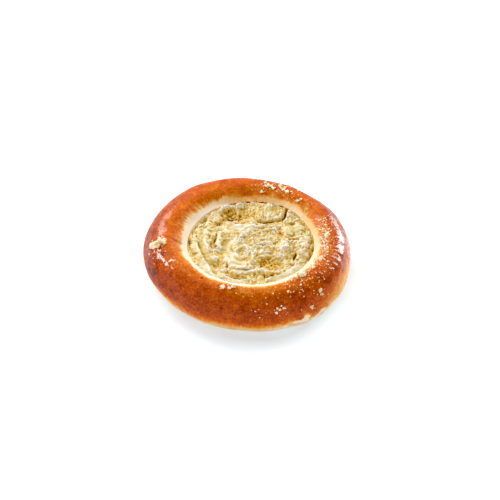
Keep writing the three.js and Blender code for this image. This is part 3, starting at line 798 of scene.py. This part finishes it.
def lay_crumbs(name, drifts, first_number, subdivisions, flatness):
    """One mesh of all the crumbs of those drifts, each a lumpy ball that sits partly in the crust."""
    ball = bmesh.new()
    bmesh.ops.create_icosphere(ball, subdivisions=subdivisions, radius=1)
    unit = np.array([v.co for v in ball.verts])
    unit_faces = np.array([[v.index for v in f.verts] for f in ball.faces])
    ball.free()
    points, faces, tones = [], [], []
    number = first_number
    for start, end, low, high, count, small, large in drifts:
        n = np.arange(number, number + count)
        number += count
        turn = np.radians(mix(start, end, scatter(n, 1)))
        station = mix(low, high, scatter(n, 2))
        size = mix(small, large, scatter(n, 3) ** 2)
        radius, height = crust_point(turn, station)
        centre = well_frame(turn, radius, height + 0.12 * size)
        # Each crumb is a ball that broad and fine noise make lumpy, from another place for each.
        away = 30 * np.stack([scatter(n, 7), scatter(n, 8), scatter(n, 9)], -1)[:, None]
        swell = 0.9 + 0.5 * lumpy(unit + away, 0.9, 41) + 0.25 * lumpy(unit + away, 0.35, 42)
        swell = np.maximum(swell, 0.35)
        spin = scatter(n, 6) * 2 * math.pi
        body = unit[None] * swell[..., None] * (size[:, None, None] / 2)
        c, s = np.cos(spin)[:, None], np.sin(spin)[:, None]
        turned = np.stack([body[..., 0] * c - body[..., 1] * s, body[..., 0] * s + body[..., 1] * c,
                           body[..., 2] * flatness], -1)
        for i in range(count):
            faces += (unit_faces + len(points) * len(unit)).tolist()
            points.append(turned[i] + centre[i])
            tones.append(np.full(len(unit), scatter(n[i], 30)))
    made = mesh_object(name, np.concatenate(points), faces)
    give_values(made, "tone", np.concatenate(tones))
    return made


crumb_material, tree, shader = new_material("dry_crumb")
marks = use_speckle(tree, 2.0, 0.6)
lightness = maths(tree, "ADD", read_value(tree, "tone"),
                  maths(tree, "SUBTRACT", marks.outputs["Coarse"], 0.5), clamp=True)
CRUMB_COLOURS = [(0.0, (232, 186, 116)), (0.3, (250, 230, 186)), (1.0, (255, 248, 230))]
tree.links.new(ramp(tree, lightness, CRUMB_COLOURS), shader.inputs["Base Color"])
shader.inputs["Roughness"].default_value = 0.6
roughen(tree, shader, marks.outputs["Fine"], 0.6, 0.0002)

# Each kind's name, drifts, first crumb's number, subdivisions, and height as a share of its width.
CRUMB_KINDS = [
    ("crumbs", CRUMB_DRIFTS, 0, 3, 0.8),
    ("crumb_dust", DUST_DRIFTS, 200, 1, 0.6),
]
for kind in CRUMB_KINDS:
    crumbs = lay_crumbs(*kind)
    crumbs.data.materials.append(crumb_material)
    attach(crumbs, "root")
    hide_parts("bun")

# --------------------------------------------------------- the table and light
# The bun stands on a white table that runs into a white surround. Three soft lights stand behind it,
# one low at the right and two higher at the left, a weak one hangs above, and two larger ones in
# front fill the shadows.

TABLE_HALF = 1.5  # in metres
corners = [(x, y, 0) for x, y in ((-1, -1), (1, -1), (1, 1), (-1, 1))]
table_mesh = bpy.data.meshes.new("table")
table_mesh.from_pydata([Vector(c) * TABLE_HALF for c in corners], [], [(0, 1, 2, 3)])
table = bpy.data.objects.new("table", table_mesh)
bpy.context.scene.collection.objects.link(table)
table_material, tree, shader = new_material("white_table")
# The table's base is a little blue, which cancels the orange light that the bun throws on it.
shader.inputs["Base Color"].default_value = (0.57, 0.63, 0.65, 1)
shader.inputs["Roughness"].default_value = 0.9
shader.inputs["Specular IOR Level"].default_value = 0.0
shader.inputs["Emission Strength"].default_value = 1
# The table glows as if lit from below, more so further out, which keeps the surround white; the weaker
# glow close to the bun paints a soft shadow round its foot. The stops are distances from the middle in
# metres.
place = add_node(tree, "ShaderNodeTexCoord")
from_middle = add_node(tree, "ShaderNodeVectorMath", operation="LENGTH")
tree.links.new(place.outputs["Object"], from_middle.inputs[0])
GLOW_AND_SHADOW = [(0.054, (160, 167, 176)), (0.062, (195, 198, 202)), (0.072, (230, 230, 231)), (0.09, (241, 241, 241))]
tree.links.new(ramp(tree, from_middle.outputs["Value"], GLOW_AND_SHADOW), shader.inputs["Emission Color"])
table.data.materials.append(table_material)

world = bpy.data.worlds.new("surround")
world.use_nodes = True
background = world.node_tree.nodes["Background"]
background.inputs["Color"].default_value = (1, 1, 1, 1)
# The surround is white where it is seen, and lights the bun only a little.
seen = add_node(world.node_tree, "ShaderNodeLightPath").outputs["Is Camera Ray"]
world.node_tree.links.new(maths(world.node_tree, "MAXIMUM", seen, 0.03), background.inputs["Strength"])
bpy.context.scene.world = world

LIGHT_DISTANCE = 0.9  # in metres, from the middle of the bun's base
# Each light's name, azimuth, elevation, width and height in metres, and watts.
SOFT_LIGHTS = [
    ("light_right", 46, 17, 0.55, 0.4, 8),
    ("light_left", 126, 31, 0.55, 0.3, 8),
    ("light_far_left", 163, 30, 0.24, 0.2, 2),
    ("light_top", 90, 75, 0.7, 0.5, 1.5),
    ("light_front_left", 235, 30, 0.9, 0.6, 3),
    ("light_front_right", 305, 30, 0.9, 0.6, 2),
]
for name, azimuth, elevation, width, height, watts in SOFT_LIGHTS:
    a, e = math.radians(azimuth), math.radians(elevation)
    towards = Vector((math.cos(a) * math.cos(e), math.sin(a) * math.cos(e), math.sin(e)))
    lamp = bpy.data.lights.new(name, "AREA")
    lamp.shape, lamp.size, lamp.size_y, lamp.energy = "RECTANGLE", width, height, watts
    holder = bpy.data.objects.new(name, lamp)
    holder.location = towards * LIGHT_DISTANCE
    holder.rotation_euler = towards.to_track_quat("Z", "Y").to_euler()
    bpy.context.scene.collection.objects.link(holder)

# The camera looks down at 42 degrees from in front.
CAMERA_ELEVATION = math.radians(42)
CAMERA_DISTANCE = 0.65  # in metres
SENSOR_WIDTH, FOCAL_LENGTH = 36, 87.7  # in millimetres
AIM = Vector((1.62, -1.59, 13.62)) * MM
camera = bpy.data.objects.new("camera", bpy.data.cameras.new("camera"))
camera.data.sensor_width = SENSOR_WIDTH
camera.data.lens = FOCAL_LENGTH
backwards = Vector((0, -math.cos(CAMERA_ELEVATION), math.sin(CAMERA_ELEVATION)))
camera.location = AIM + backwards * CAMERA_DISTANCE
camera.rotation_euler = backwards.to_track_quat("Z", "Y").to_euler()
bpy.context.scene.collection.objects.link(camera)
bpy.context.scene.camera = camera
bpy.context.scene.view_settings.view_transform = "Standard"
bpy.context.scene.view_settings.look = "None"
# A small black level takes the haze off the shadows.
bpy.context.scene.view_settings.use_curve_mapping = True
bpy.context.scene.view_settings.curve_mapping.black_level = (0.02, 0.02, 0.02)
bpy.context.scene.view_settings.curve_mapping.update()
